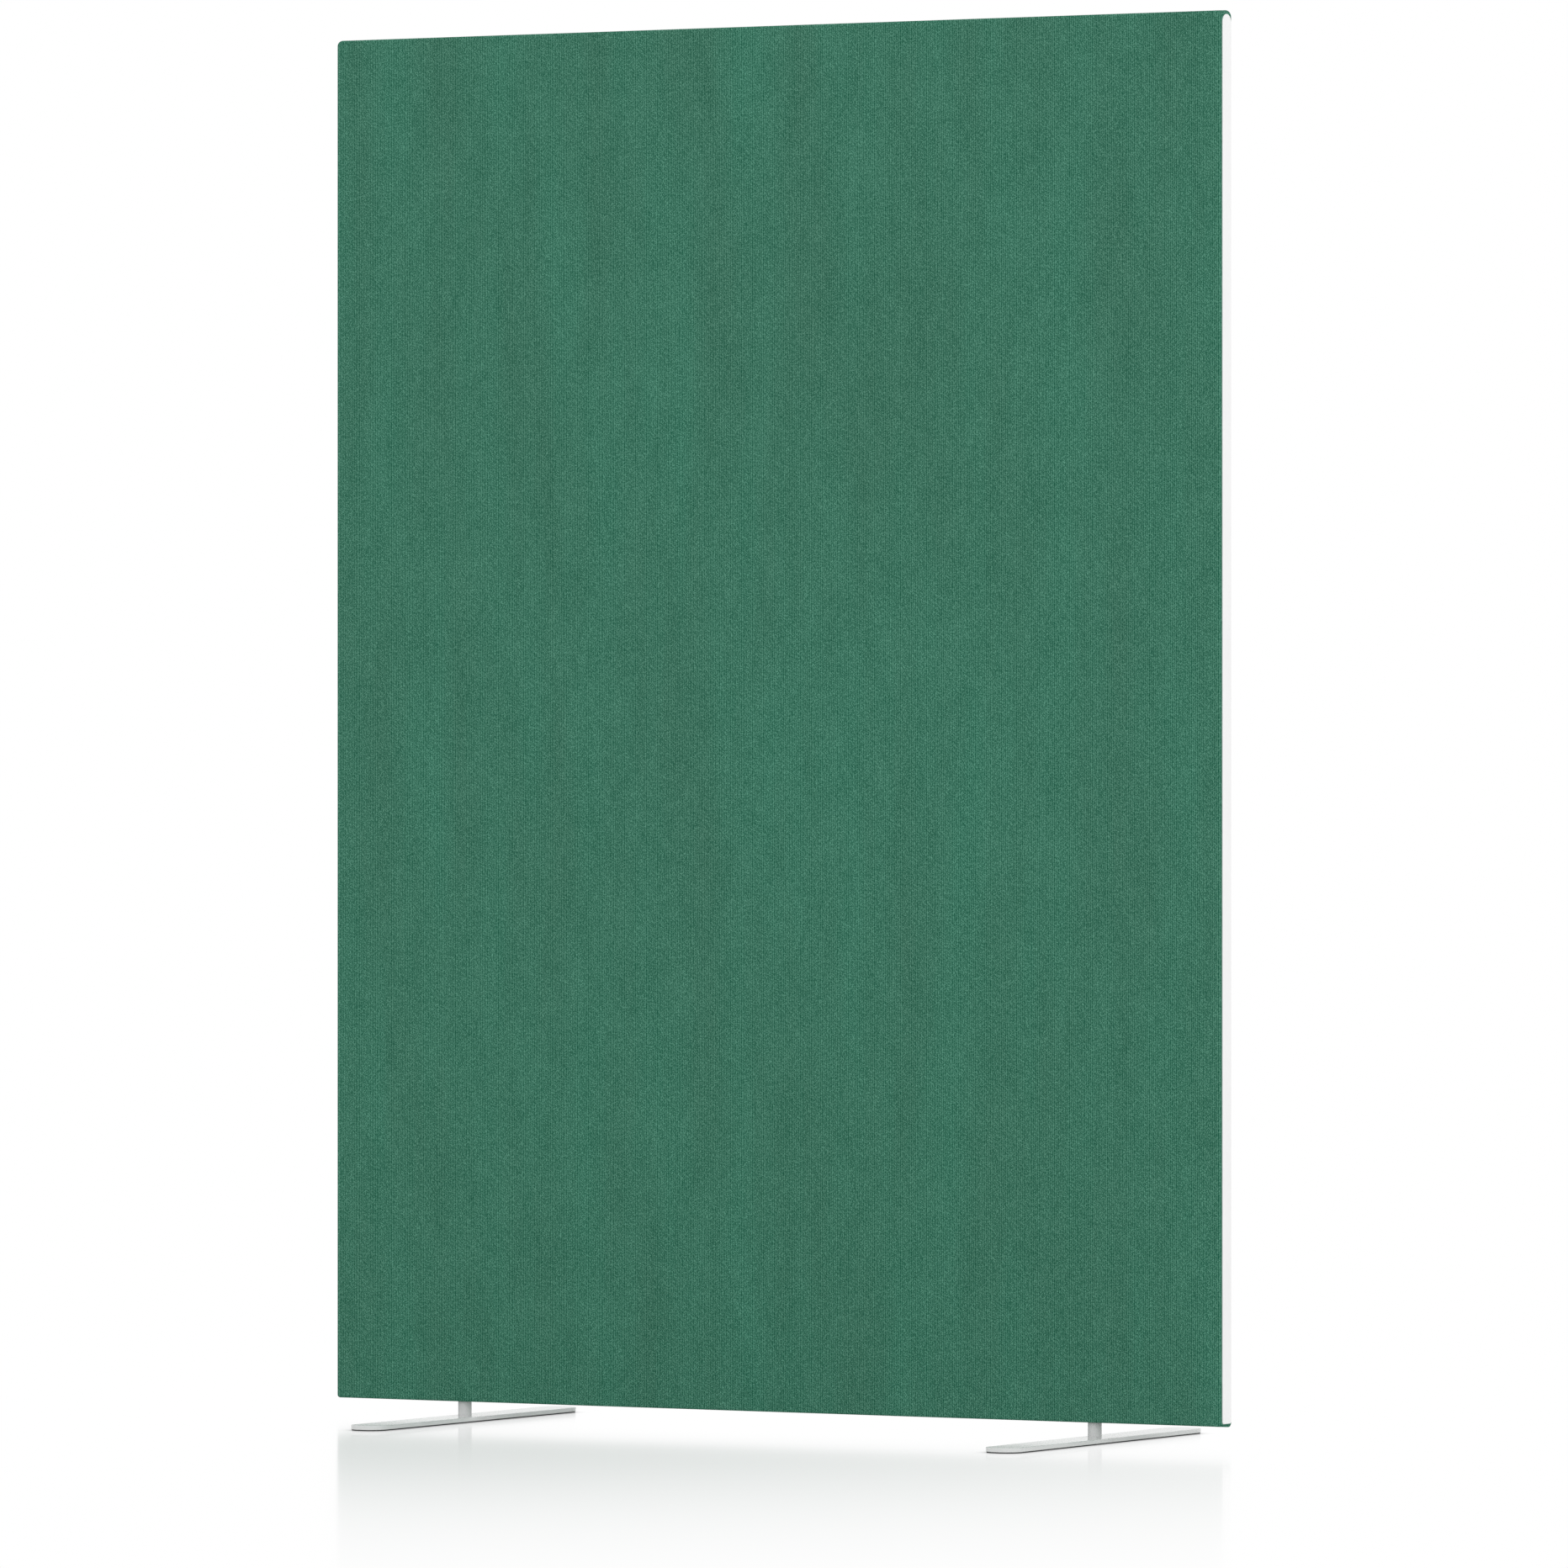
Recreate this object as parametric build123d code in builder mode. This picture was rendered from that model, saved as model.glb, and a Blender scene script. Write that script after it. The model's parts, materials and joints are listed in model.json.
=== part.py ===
"""Free-standing acoustic divider screen: a fabric-covered panel on two crosswise plate feet.

Millimetres. The origin is on the floor, under the middle of the panel. +X runs along the
panel's width, +Y through its thickness, from front to rear, and +Z is up.
"""
import os

from build123d import *

# The covered panel
panel_width = 1200.0
panel_height = 1626.0
panel_thickness = 28.0
floor_gap = 24.0
long_edge_radius = 2.5
top_corner_radius = 7.0
bottom_corner_radius = 3.5

# Layers of the panel, from outside to inside
cover_thickness = 1.0
wadding_thickness = 4.0
board_thickness = 3.0

# Timber frame and what it holds
stile_width = 45.0
top_rail_width = 45.0
bottom_rail_width = 60.0
board_groove_depth = 7.0
board_side_play = 0.1
board_edge_play = 0.5
absorber_play = 0.3
dowel_diameter = 8.0
dowel_length = 48.0
dowel_chamfer = 1.0
dowel_play = 0.05
dowel_end_play = 1.0
top_dowel_spacing = 20.0
bottom_dowel_spacing = 30.0

# Edge strips: a flat cap with a barbed tongue that holds the cover in a slot of the stile
strip_width = 20.0
strip_thickness = 1.5
strip_rim_radius = 0.8
strip_top_margin = 3.8
strip_bottom_margin = 3.0
strip_bottom_corner_radius = 3.0
tongue_thickness = 2.0
tongue_depth = 12.0
tongue_setback = 14.0
barb_height = 0.4
barb_length = 2.5
barb_pitch = 3.5
barb_count = 3
slot_end_play = 1.0
cover_flap_depth = 11.0

# Staples that close the cover under the bottom rail
staple_crown = 10.0
staple_leg = 8.0
staple_wire_width = 1.2
staple_wire_thickness = 0.6
staple_corner_radius = 0.5
staple_pitch = 74.0
staple_clear_of_anchor = 15.0
staple_play = 0.05

# Anchors let into the bottom rail
anchor_length = 100.0
anchor_width = 15.0
anchor_thickness = 3.0
anchor_play = 0.1
bush_diameter = 12.0
bush_length = 38.0
bush_hole_end_play = 1.0
anchor_screw_offset = 38.0
wood_screw_diameter = 4.0
wood_screw_length = 30.0
wood_screw_head_diameter = 8.0
wood_screw_head_rim = 0.3
wood_screw_point = 4.0
wood_screw_tip_share = 0.2
wood_screw_play = 0.05
wood_screw_cross_width = 0.9
wood_screw_cross_depth = 1.5

# Feet
foot_length = 465.0
foot_width = 45.0
foot_thickness = 5.0
foot_end_radius = 20.0
foot_rim_radius = 0.7
foot_inset = 172.0
pad_thickness = 1.2
pad_inset = 0.8
pad_hole_clearance = 1.5
post_diameter = 16.0
post_rim_radius = 0.5
post_hole_clearance = 0.5
swivel_play = 0.05

# Foot screws
foot_screw_diameter = 8.0
foot_screw_head_diameter = 16.0
foot_screw_head_rim = 0.4
foot_screw_length = 60.0
foot_screw_point = 1.2
foot_screw_tip_share = 0.85
hex_key_size = 5.0
hex_key_depth = 3.0

# Worked out from the sizes above
frame_thickness = panel_thickness - 2 * (cover_thickness + wadding_thickness)
frame_width = panel_width - 2 * cover_thickness
frame_height = panel_height - 2 * cover_thickness
frame_bottom = floor_gap + cover_thickness
frame_top = frame_bottom + frame_height
frame_end = frame_width / 2
panel_end = panel_width / 2
bay_width = frame_width - 2 * stile_width
bay_bottom = frame_bottom + bottom_rail_width
bay_top = frame_top - top_rail_width
bay_height = bay_top - bay_bottom
bay_middle = (bay_bottom + bay_top) / 2
board_groove_width = board_thickness + 2 * board_side_play
absorber_thickness = (frame_thickness - board_thickness) / 2
slot_width = tongue_thickness + 2 * barb_height + 2 * cover_thickness
strip_bottom = floor_gap + strip_bottom_margin
strip_top = floor_gap + panel_height - strip_top_margin
strip_height = strip_top - strip_bottom
tongue_bottom = strip_bottom + tongue_setback
tongue_height = strip_height - 2 * tongue_setback
tongue_middle = tongue_bottom + tongue_height / 2
slot_height = tongue_height + 2 * slot_end_play
foot_place = panel_end - foot_inset
plate_top = pad_thickness + foot_thickness
post_height = frame_bottom - plate_top - swivel_play
post_hole_diameter = post_diameter + 2 * post_hole_clearance
bore_diameter = foot_screw_diameter + 2 * swivel_play
top_dowel_height = frame_top - top_rail_width / 2
bottom_dowel_height = frame_bottom + bottom_rail_width / 2

sides = {"left": -1, "right": 1}
foot_axes = [(side * foot_place, 0) for side in sides.values()]
anchor_screw_places = [
    (side * foot_place + step * anchor_screw_offset, 0, frame_bottom)
    for side in sides.values()
    for step in (-1, 1)
]
dowel_heights = [
    top_dowel_height - top_dowel_spacing / 2,
    top_dowel_height + top_dowel_spacing / 2,
    bottom_dowel_height - bottom_dowel_spacing / 2,
    bottom_dowel_height + bottom_dowel_spacing / 2,
]

staple_row = bay_width - 2 * staple_crown
staple_count = int(staple_row // staple_pitch) + 1
staple_start = -staple_pitch * (staple_count - 1) / 2
staple_keep_out = anchor_length / 2 + staple_clear_of_anchor
staple_places = [
    (place, 0, floor_gap - staple_wire_thickness)
    for place in (staple_start + staple_pitch * step for step in range(staple_count))
    if abs(abs(place) - foot_place) > staple_keep_out
]

os.makedirs("parts", exist_ok=True)


def rounded_panel(width, height, thickness, bottom, top_radius, bottom_radius, edge_radius):
    """An upright slab with rounded corners, seen from the front, and rounded long edges."""
    with BuildPart() as slab:
        with BuildSketch(Plane.XZ) as face:
            with Locations((0, bottom + height / 2)):
                Rectangle(width, height)
            fillet(face.vertices().group_by(Axis.Y)[-1], top_radius)
            fillet(face.vertices().group_by(Axis.Y)[0], bottom_radius)
        extrude(amount=thickness / 2, both=True)
        front = slab.faces().sort_by(Axis.Y)[0]
        rear = slab.faces().sort_by(Axis.Y)[-1]
        fillet(front.edges() + rear.edges(), edge_radius)
    return slab.part


def screw_body(diameter, head_diameter, head_rim, length, point, tip_share, play=0.0):
    """A countersunk screw that points up, its head flush with height zero, larger by its play."""
    shank = diameter / 2 + play
    head = head_diameter / 2 + play
    cone = head_rim + head - shank
    tip = length + play
    with BuildPart() as screw:
        with BuildSketch(Plane.XZ):
            with BuildLine():
                Polyline(
                    (0, 0),
                    (head, 0),
                    (head, head_rim),
                    (shank, cone),
                    (shank, tip - point),
                    (shank * tip_share, tip),
                    (0, tip),
                    close=True,
                )
            make_face()
        revolve(axis=Axis.Z)
    return screw.part


def staple_shape(play=0.0):
    """A staple that points up, its crown's underside at height zero, larger by its play."""
    crown = staple_crown + 2 * play
    wire = staple_wire_thickness + 2 * play
    leg_top = staple_wire_thickness + staple_leg + play
    inner = crown / 2 - wire
    with BuildPart() as staple:
        with BuildSketch(Plane.XZ) as front:
            with BuildLine():
                Polyline(
                    (-crown / 2, 0),
                    (crown / 2, 0),
                    (crown / 2, leg_top),
                    (inner, leg_top),
                    (inner, staple_wire_thickness),
                    (-inner, staple_wire_thickness),
                    (-inner, leg_top),
                    (-crown / 2, leg_top),
                    close=True,
                )
            make_face()
            fillet(front.vertices().group_by(Axis.Y)[0], staple_corner_radius)
        extrude(amount=staple_wire_width / 2 + play, both=True)
    return staple.part


def foot_outline(inset=0.0):
    """The flat outline of a foot plate seen from above, drawn in by an inset."""
    with BuildSketch() as outline:
        Rectangle(foot_width - 2 * inset, foot_length - 2 * inset)
        fillet(outline.vertices(), foot_end_radius - inset)
    return outline.sketch


# Shapes that more than one piece is cut to
filling = rounded_panel(
    frame_width,
    frame_height,
    panel_thickness - 2 * cover_thickness,
    frame_bottom,
    top_corner_radius - cover_thickness,
    bottom_corner_radius - cover_thickness,
    long_edge_radius - cover_thickness,
)

wood_screw_sizes = (
    wood_screw_diameter,
    wood_screw_head_diameter,
    wood_screw_head_rim,
    wood_screw_length,
    wood_screw_point,
    wood_screw_tip_share,
)
wood_screw = screw_body(*wood_screw_sizes)
wood_screw_hole = screw_body(*wood_screw_sizes, play=wood_screw_play)
foot_screw_sizes = (
    foot_screw_diameter,
    foot_screw_head_diameter,
    foot_screw_head_rim,
    foot_screw_length,
    foot_screw_point,
    foot_screw_tip_share,
)
foot_screw = screw_body(*foot_screw_sizes)
foot_screw_hole = screw_body(*foot_screw_sizes, play=swivel_play)
staple = staple_shape()
staple_hole = staple_shape(staple_play)

# Stiles: the two uprights of the timber frame, with rounded outer corners
for name, side in sides.items():
    with BuildPart() as stile:
        with BuildSketch(Plane.XZ) as face:
            with Locations((side * (frame_width - stile_width) / 2, frame_bottom + frame_height / 2)):
                Rectangle(stile_width, frame_height)
            outer_corners = face.vertices().group_by(Axis.X)[-1 if side > 0 else 0].sort_by(Axis.Y)
            fillet(outer_corners[-1], top_corner_radius - cover_thickness)
            outer_corners = face.vertices().group_by(Axis.X)[-1 if side > 0 else 0].sort_by(Axis.Y)
            fillet(outer_corners[0], bottom_corner_radius - cover_thickness)
        extrude(amount=frame_thickness / 2, both=True)
        with Locations((0, 0, bay_middle)):
            Box(
                bay_width + 2 * board_groove_depth,
                board_groove_width,
                bay_height + 2 * board_groove_depth,
                mode=Mode.SUBTRACT,
            )
        with Locations((side * frame_end, 0, tongue_middle)):
            Box(2 * (tongue_depth + slot_end_play), slot_width, slot_height, mode=Mode.SUBTRACT)
        with BuildSketch(Plane.YZ.offset(side * bay_width / 2)):
            with Locations(*[(0, height) for height in dowel_heights]):
                Circle(dowel_diameter / 2 + dowel_play)
        extrude(amount=side * (dowel_length / 2 + dowel_end_play), mode=Mode.SUBTRACT)
    stile.part.label = f"{name}_stile"
    export_step(stile.part, f"parts/{name}_stile.step")

# Top rail
with BuildPart() as top_rail:
    with Locations((0, 0, frame_top - top_rail_width / 2)):
        Box(bay_width, frame_thickness, top_rail_width)
    with Locations((0, 0, bay_top)):
        Box(bay_width, board_groove_width, 2 * board_groove_depth, mode=Mode.SUBTRACT)
    for side in sides.values():
        with BuildSketch(Plane.YZ.offset(side * bay_width / 2)):
            with Locations(*[(0, height) for height in dowel_heights[:2]]):
                Circle(dowel_diameter / 2 + dowel_play)
        extrude(amount=-side * (dowel_length / 2 + dowel_end_play), mode=Mode.SUBTRACT)
top_rail.part.label = "top_rail"
export_step(top_rail.part, "parts/top_rail.step")

# Bottom rail: carries the anchors of the feet and takes the staples of the cover
with BuildPart() as bottom_rail:
    with Locations((0, 0, frame_bottom + bottom_rail_width / 2)):
        Box(bay_width, frame_thickness, bottom_rail_width)
    with Locations((0, 0, bay_bottom)):
        Box(bay_width, board_groove_width, 2 * board_groove_depth, mode=Mode.SUBTRACT)
    for side in sides.values():
        with BuildSketch(Plane.YZ.offset(side * bay_width / 2)):
            with Locations(*[(0, height) for height in dowel_heights[2:]]):
                Circle(dowel_diameter / 2 + dowel_play)
        extrude(amount=-side * (dowel_length / 2 + dowel_end_play), mode=Mode.SUBTRACT)
    with BuildSketch(Plane.XY.offset(frame_bottom)):
        with Locations(*foot_axes):
            SlotOverall(anchor_length + 2 * anchor_play, anchor_width + 2 * anchor_play)
    extrude(amount=anchor_thickness + anchor_play, mode=Mode.SUBTRACT)
    with BuildSketch(Plane.XY.offset(frame_bottom)):
        with Locations(*foot_axes):
            Circle(bush_diameter / 2 + anchor_play)
    extrude(amount=anchor_thickness + bush_length + bush_hole_end_play, mode=Mode.SUBTRACT)
    with Locations(*anchor_screw_places):
        add(wood_screw_hole, mode=Mode.SUBTRACT)
    with Locations(*staple_places):
        add(staple_hole, mode=Mode.SUBTRACT)
bottom_rail.part.label = "bottom_rail"
export_step(bottom_rail.part, "parts/bottom_rail.step")

# Dowels: two glued across each corner of the frame
with BuildPart() as frame_dowels:
    for side in sides.values():
        start = side * bay_width / 2 - dowel_length / 2
        with BuildSketch(Plane.YZ.offset(start)):
            with Locations(*[(0, height) for height in dowel_heights]):
                Circle(dowel_diameter / 2)
        extrude(amount=dowel_length)
    chamfer(frame_dowels.edges().filter_by(GeomType.CIRCLE), dowel_chamfer)
frame_dowels.part.label = "frame_dowels"
export_step(frame_dowels.part, "parts/frame_dowels.step")

# Centre board: stands in the grooves of the frame
with BuildPart() as centre_board:
    with Locations((0, 0, bay_middle)):
        Box(
            bay_width + 2 * (board_groove_depth - board_edge_play),
            board_thickness,
            bay_height + 2 * (board_groove_depth - board_edge_play),
        )
centre_board.part.label = "centre_board"
export_step(centre_board.part, "parts/centre_board.step")

# Absorbers: a slab on each side of the board, flush with the frame
for name, side in {"front": -1, "rear": 1}.items():
    with BuildPart() as absorber:
        with Locations((0, side * (board_thickness + absorber_thickness) / 2, bay_middle)):
            Box(bay_width - 2 * absorber_play, absorber_thickness, bay_height - 2 * absorber_play)
    absorber.part.label = f"{name}_absorber"
    export_step(absorber.part, f"parts/{name}_absorber.step")

# Waddings: a soft sheet over the frame on each side, rounded off with the filling of the cover
for name, side in {"front": -1, "rear": 1}.items():
    frame_face = Plane.XZ.offset(-side * frame_thickness / 2)
    with BuildPart() as wadding:
        add(filling)
        split(bisect_by=frame_face, keep=Keep.BOTTOM if side > 0 else Keep.TOP)
    wadding.part.label = f"{name}_wadding"
    export_step(wadding.part, f"parts/{name}_wadding.step")

# Cover: one taut cloth skin, tucked into the slots of both stiles and closed underneath
with BuildPart() as fabric_cover:
    add(
        rounded_panel(
            panel_width,
            panel_height,
            panel_thickness,
            floor_gap,
            top_corner_radius,
            bottom_corner_radius,
            long_edge_radius,
        )
    )
    add(filling, mode=Mode.SUBTRACT)
    for side in sides.values():
        with Locations((side * (panel_end - cover_flap_depth / 2), 0, tongue_middle)):
            Box(cover_flap_depth, slot_width, tongue_height)
            Box(cover_flap_depth, slot_width - 2 * cover_thickness, tongue_height, mode=Mode.SUBTRACT)
    with BuildSketch(Plane.XY.offset(floor_gap)):
        with Locations(*foot_axes):
            Circle(post_hole_diameter / 2)
    extrude(amount=cover_thickness, mode=Mode.SUBTRACT)
    with Locations(*staple_places):
        add(staple_hole, mode=Mode.SUBTRACT)
fabric_cover.part.label = "fabric_cover"
export_step(fabric_cover.part, "parts/fabric_cover.step")

# Staples: one row along the closing seam, clear of the anchors
with BuildPart() as cover_staples:
    with Locations(*staple_places):
        add(staple)
cover_staples.part.label = "cover_staples"
export_step(cover_staples.part, "parts/cover_staples.step")

# Edge strips: cap with a half-round top end, and a barbed tongue knocked into the stile
for name, side in sides.items():
    with BuildPart() as edge_strip:
        with BuildSketch(Plane.YZ.offset(side * panel_end)) as cap:
            with Locations((0, strip_bottom + strip_height / 2)):
                Rectangle(strip_width, strip_height)
            fillet(cap.vertices().group_by(Axis.Y)[0], strip_bottom_corner_radius)
            with Locations((0, strip_top - strip_width / 2)):
                Rectangle(strip_width, strip_width, align=(Align.CENTER, Align.MIN), mode=Mode.SUBTRACT)
                Circle(strip_width / 2)
        extrude(amount=side * strip_thickness)
        outer_face = edge_strip.faces().sort_by(Axis.X)[-1 if side > 0 else 0]
        fillet(outer_face.edges(), strip_rim_radius)
        with Locations((side * (panel_end - tongue_depth / 2), 0, tongue_middle)):
            Box(tongue_depth, tongue_thickness, tongue_height)
        with BuildSketch(Plane.XY.offset(tongue_bottom)):
            for step in range(barb_count):
                tip = panel_end - tongue_depth + step * barb_pitch
                shoulder = tip + barb_length
                for flank in (-1, 1):
                    with BuildLine():
                        Polyline(
                            (side * tip, 0),
                            (side * tip, flank * tongue_thickness / 2),
                            (side * shoulder, flank * (tongue_thickness / 2 + barb_height)),
                            (side * shoulder, 0),
                            close=True,
                        )
                    make_face()
        extrude(amount=tongue_height)
    edge_strip.part.label = f"{name}_edge_strip"
    export_step(edge_strip.part, f"parts/{name}_edge_strip.step")

# Anchors: a steel flange with a threaded bush, flush with the underside of the bottom rail
for name, side in sides.items():
    with BuildPart() as anchor:
        with BuildSketch(Plane.XY.offset(frame_bottom)):
            with Locations((side * foot_place, 0)):
                SlotOverall(anchor_length, anchor_width)
        extrude(amount=anchor_thickness)
        with BuildSketch(Plane.XY.offset(frame_bottom)):
            with Locations((side * foot_place, 0)):
                Circle(bush_diameter / 2)
        extrude(amount=anchor_thickness + bush_length)
        with BuildSketch(Plane.XY.offset(frame_bottom)):
            with Locations((side * foot_place, 0)):
                Circle(bore_diameter / 2)
        extrude(amount=anchor_thickness + bush_length, mode=Mode.SUBTRACT)
        with Locations(*anchor_screw_places):
            add(wood_screw_hole, mode=Mode.SUBTRACT)
    anchor.part.label = f"{name}_anchor"
    export_step(anchor.part, f"parts/{name}_anchor.step")

# Anchor screws: two countersunk wood screws in each flange, with a cross recess
with BuildPart() as anchor_screws:
    with Locations(*anchor_screw_places):
        add(wood_screw)
        for turn in (0, 90):
            Box(
                wood_screw_head_diameter / 2,
                wood_screw_cross_width,
                2 * wood_screw_cross_depth,
                rotation=(0, 0, turn),
                mode=Mode.SUBTRACT,
            )
anchor_screws.part.label = "anchor_screws"
export_step(anchor_screws.part, "parts/anchor_screws.step")

# Feet: plate, post, pad and the screw that clamps them to the anchor
for name, side in sides.items():
    foot_plane = Plane((side * foot_place, 0, 0))

    with BuildPart() as foot_plate:
        with BuildSketch(foot_plane.offset(pad_thickness)):
            add(foot_outline())
        extrude(amount=foot_thickness)
        top = foot_plate.faces().sort_by(Axis.Z)[-1]
        underside = foot_plate.faces().sort_by(Axis.Z)[0]
        fillet(top.edges() + underside.edges(), foot_rim_radius)
        with Locations((side * foot_place, 0, pad_thickness)):
            add(foot_screw_hole, mode=Mode.SUBTRACT)
    foot_plate.part.label = f"{name}_foot_plate"
    export_step(foot_plate.part, f"parts/{name}_foot_plate.step")

    with BuildPart() as foot_post:
        with BuildSketch(foot_plane.offset(plate_top)):
            Circle(post_diameter / 2)
            Circle(bore_diameter / 2, mode=Mode.SUBTRACT)
        extrude(amount=post_height)
        head = foot_post.faces().sort_by(Axis.Z)[-1]
        fillet(head.outer_wire().edges(), post_rim_radius)
    foot_post.part.label = f"{name}_foot_post"
    export_step(foot_post.part, f"parts/{name}_foot_post.step")

    with BuildPart() as foot_pad:
        with BuildSketch(foot_plane):
            add(foot_outline(pad_inset))
            Circle(foot_screw_head_diameter / 2 + pad_hole_clearance, mode=Mode.SUBTRACT)
        extrude(amount=pad_thickness)
    foot_pad.part.label = f"{name}_foot_pad"
    export_step(foot_pad.part, f"parts/{name}_foot_pad.step")

    with BuildPart() as clamp_screw:
        with Locations((side * foot_place, 0, pad_thickness)):
            add(foot_screw)
        with BuildSketch(foot_plane.offset(pad_thickness)):
            RegularPolygon(hex_key_size / 2, 6, major_radius=False)
        extrude(amount=hex_key_depth, mode=Mode.SUBTRACT)
    clamp_screw.part.label = f"{name}_foot_screw"
    export_step(clamp_screw.part, f"parts/{name}_foot_screw.step")
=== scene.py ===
"""Looks of the acoustic divider screen: finishes, padding, cloth cover, floor, light and camera.

Metres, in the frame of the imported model. +X runs along the panel, +Y from its front to its rear, +Z up.
"""
import json
import math

import bpy
import numpy as np
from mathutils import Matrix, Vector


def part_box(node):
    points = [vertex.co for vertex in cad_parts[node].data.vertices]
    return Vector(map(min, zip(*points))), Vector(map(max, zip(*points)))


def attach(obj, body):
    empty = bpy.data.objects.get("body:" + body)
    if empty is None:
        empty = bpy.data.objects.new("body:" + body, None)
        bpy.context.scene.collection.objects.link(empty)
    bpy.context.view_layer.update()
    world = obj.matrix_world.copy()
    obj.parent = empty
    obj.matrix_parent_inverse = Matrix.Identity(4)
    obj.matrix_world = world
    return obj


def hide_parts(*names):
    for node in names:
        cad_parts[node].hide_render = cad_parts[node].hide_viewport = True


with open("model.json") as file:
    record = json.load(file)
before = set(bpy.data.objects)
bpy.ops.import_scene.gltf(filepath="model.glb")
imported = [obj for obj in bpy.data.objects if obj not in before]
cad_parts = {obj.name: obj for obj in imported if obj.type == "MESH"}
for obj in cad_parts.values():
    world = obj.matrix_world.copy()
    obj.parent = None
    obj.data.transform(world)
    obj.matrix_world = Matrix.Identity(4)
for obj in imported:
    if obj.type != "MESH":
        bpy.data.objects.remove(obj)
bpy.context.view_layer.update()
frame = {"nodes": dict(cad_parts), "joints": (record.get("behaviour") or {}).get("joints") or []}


# The timber frame is two stiles and two rails of planed softwood, joined by glued dowels.
# The grain runs along each member, with pale early wood between thin darker late wood lines.
# A slot down each stile and a groove round the bay are routed in, so the same wood shows there.
def add_node(tree, kind, inputs=None, **settings):
    """One node of a finish: settings by name, inputs by name or number, as plain values or as sockets."""
    node = tree.nodes.new("ShaderNode" + kind)
    for name, value in settings.items():
        setattr(node, name, value)
    for name, value in (inputs or {}).items():
        if isinstance(value, bpy.types.NodeSocket):
            tree.links.new(value, node.inputs[name])
        else:
            node.inputs[name].default_value = value
    return node


def start_finish(name, **shader_values):
    """A new material: returns it, its node tree, its shader and the place of each point on the piece."""
    finish = bpy.data.materials.new(name)
    finish.use_nodes = True
    tree = finish.node_tree
    shader = next(node for node in tree.nodes if node.type == "BSDF_PRINCIPLED")
    for key, value in shader_values.items():
        shader.inputs[key.replace("_", " ")].default_value = value
    place = add_node(tree, "TexCoord").outputs["Object"]
    return finish, tree, shader, place


def sums(tree, kind, first, second=0.0, third=0.0):
    """One step of arithmetic in a finish, such as MULTIPLY or FLOOR, on sockets or numbers."""
    step = add_node(tree, "Math", {0: first, 1: second, 2: third}, operation=kind)
    return step.outputs["Value"]


def mottle(tree, place, size, detail=2.0):
    """Random soft blotches around 0.5; size is how large they are, all round or along each axis."""
    lengths = [size, size, size] if isinstance(size, float) else size
    scale = [1 / length for length in lengths]
    scaled = add_node(tree, "Mapping", {"Vector": place, "Scale": scale}).outputs["Vector"]
    blotches = add_node(tree, "TexNoise", {"Vector": scaled, "Scale": 1.0, "Detail": detail})
    return blotches.outputs["Fac"]


def stretched(size, axis, length):
    """The same size along all axes but one, which gets the length."""
    sizes = [size, size, size]
    sizes[axis] = length
    return sizes


def spread(tree, value, start, end, low=0.0, high=1.0):
    """A value that goes evenly from low to high while the given one goes from start to end."""
    ranged = add_node(tree, "MapRange", {"Value": value, 1: start, 2: end, 3: low, 4: high})
    return ranged.outputs["Result"]


def shades(tree, amount, first, second):
    """The colour that goes from first to second, each a colour or a socket, with an amount from 0 to 1."""
    ends = [(*end, 1.0) if isinstance(end, tuple) else end for end in (first, second)]
    mixed = add_node(tree, "Mix", {0: amount, 6: ends[0], 7: ends[1]}, data_type="RGBA")
    return mixed.outputs[2]


def paint(tree, shader, colour, pattern, roughness, start=0.3, end=0.7):
    """Gives the shader its colour, and a roughness that changes while the pattern goes from start to end."""
    tree.links.new(colour, shader.inputs["Base Color"])
    tree.links.new(spread(tree, pattern, start, end, *roughness), shader.inputs["Roughness"])


def relief(tree, shader, height, depth):
    """Raises the surface by depth metres where the height is 1."""
    bump = add_node(tree, "Bump", {"Height": height, "Distance": depth, "Strength": 1.0})
    tree.links.new(bump.outputs["Normal"], shader.inputs["Normal"])


def dress(finish, *names):
    """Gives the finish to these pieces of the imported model."""
    for name in names:
        frame["nodes"][name].material_slots[0].material = finish


ring_spacing = 0.0032
ring_wander = 0.006
grain_width = 0.03
grain_length = 0.35
pore_width = 0.0006
pore_length = 0.024
early_wood = (0.62, 0.44, 0.255)
late_wood = (0.43, 0.25, 0.115)

for along, pith, members in (
    (2, (0.06, 0.045, 0.0), ("left_stile", "right_stile")),
    (0, (0.0, 0.05, -0.035), ("top_rail", "bottom_rail")),
):
    softwood, tree, shader, place = start_finish(f"planed_softwood_{members[0]}")
    wander = mottle(tree, place, stretched(grain_width, along, grain_length))
    section = stretched(1.0, along, 0.0)
    from_pith = add_node(tree, "Mapping", {"Vector": place, "Location": pith, "Scale": section})
    radius = add_node(tree, "VectorMath", {0: from_pith.outputs["Vector"]}, operation="LENGTH")
    wavy = sums(tree, "MULTIPLY_ADD", wander, ring_wander, radius.outputs["Value"])
    ring_turn = sums(tree, "MULTIPLY", wavy, 2 * math.pi / ring_spacing)
    rings = spread(tree, sums(tree, "SINE", ring_turn), start=0.2, end=1.0)
    pores = mottle(tree, place, stretched(pore_width, along, pore_length), detail=1.0)
    wood = shades(tree, rings, early_wood, late_wood)
    pored = shades(tree, spread(tree, pores, start=0.62, end=0.75, high=0.35), wood, late_wood)
    paint(tree, shader, pored, rings, roughness=(0.68, 0.5), start=0.0, end=1.0)
    relief(tree, shader, sums(tree, "SUBTRACT", rings, pores), depth=0.00006)
    dress(softwood, *members)


# The frame's eight dowels are fluted beech, glued half into the rails and half into the stiles.
# Beech is pinkish brown with short dark flecks along the grain, and painted shade darkens the flutes in fine
# lines.
dowel_light = (0.53, 0.345, 0.21)
dowel_dark = (0.38, 0.21, 0.11)

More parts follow.
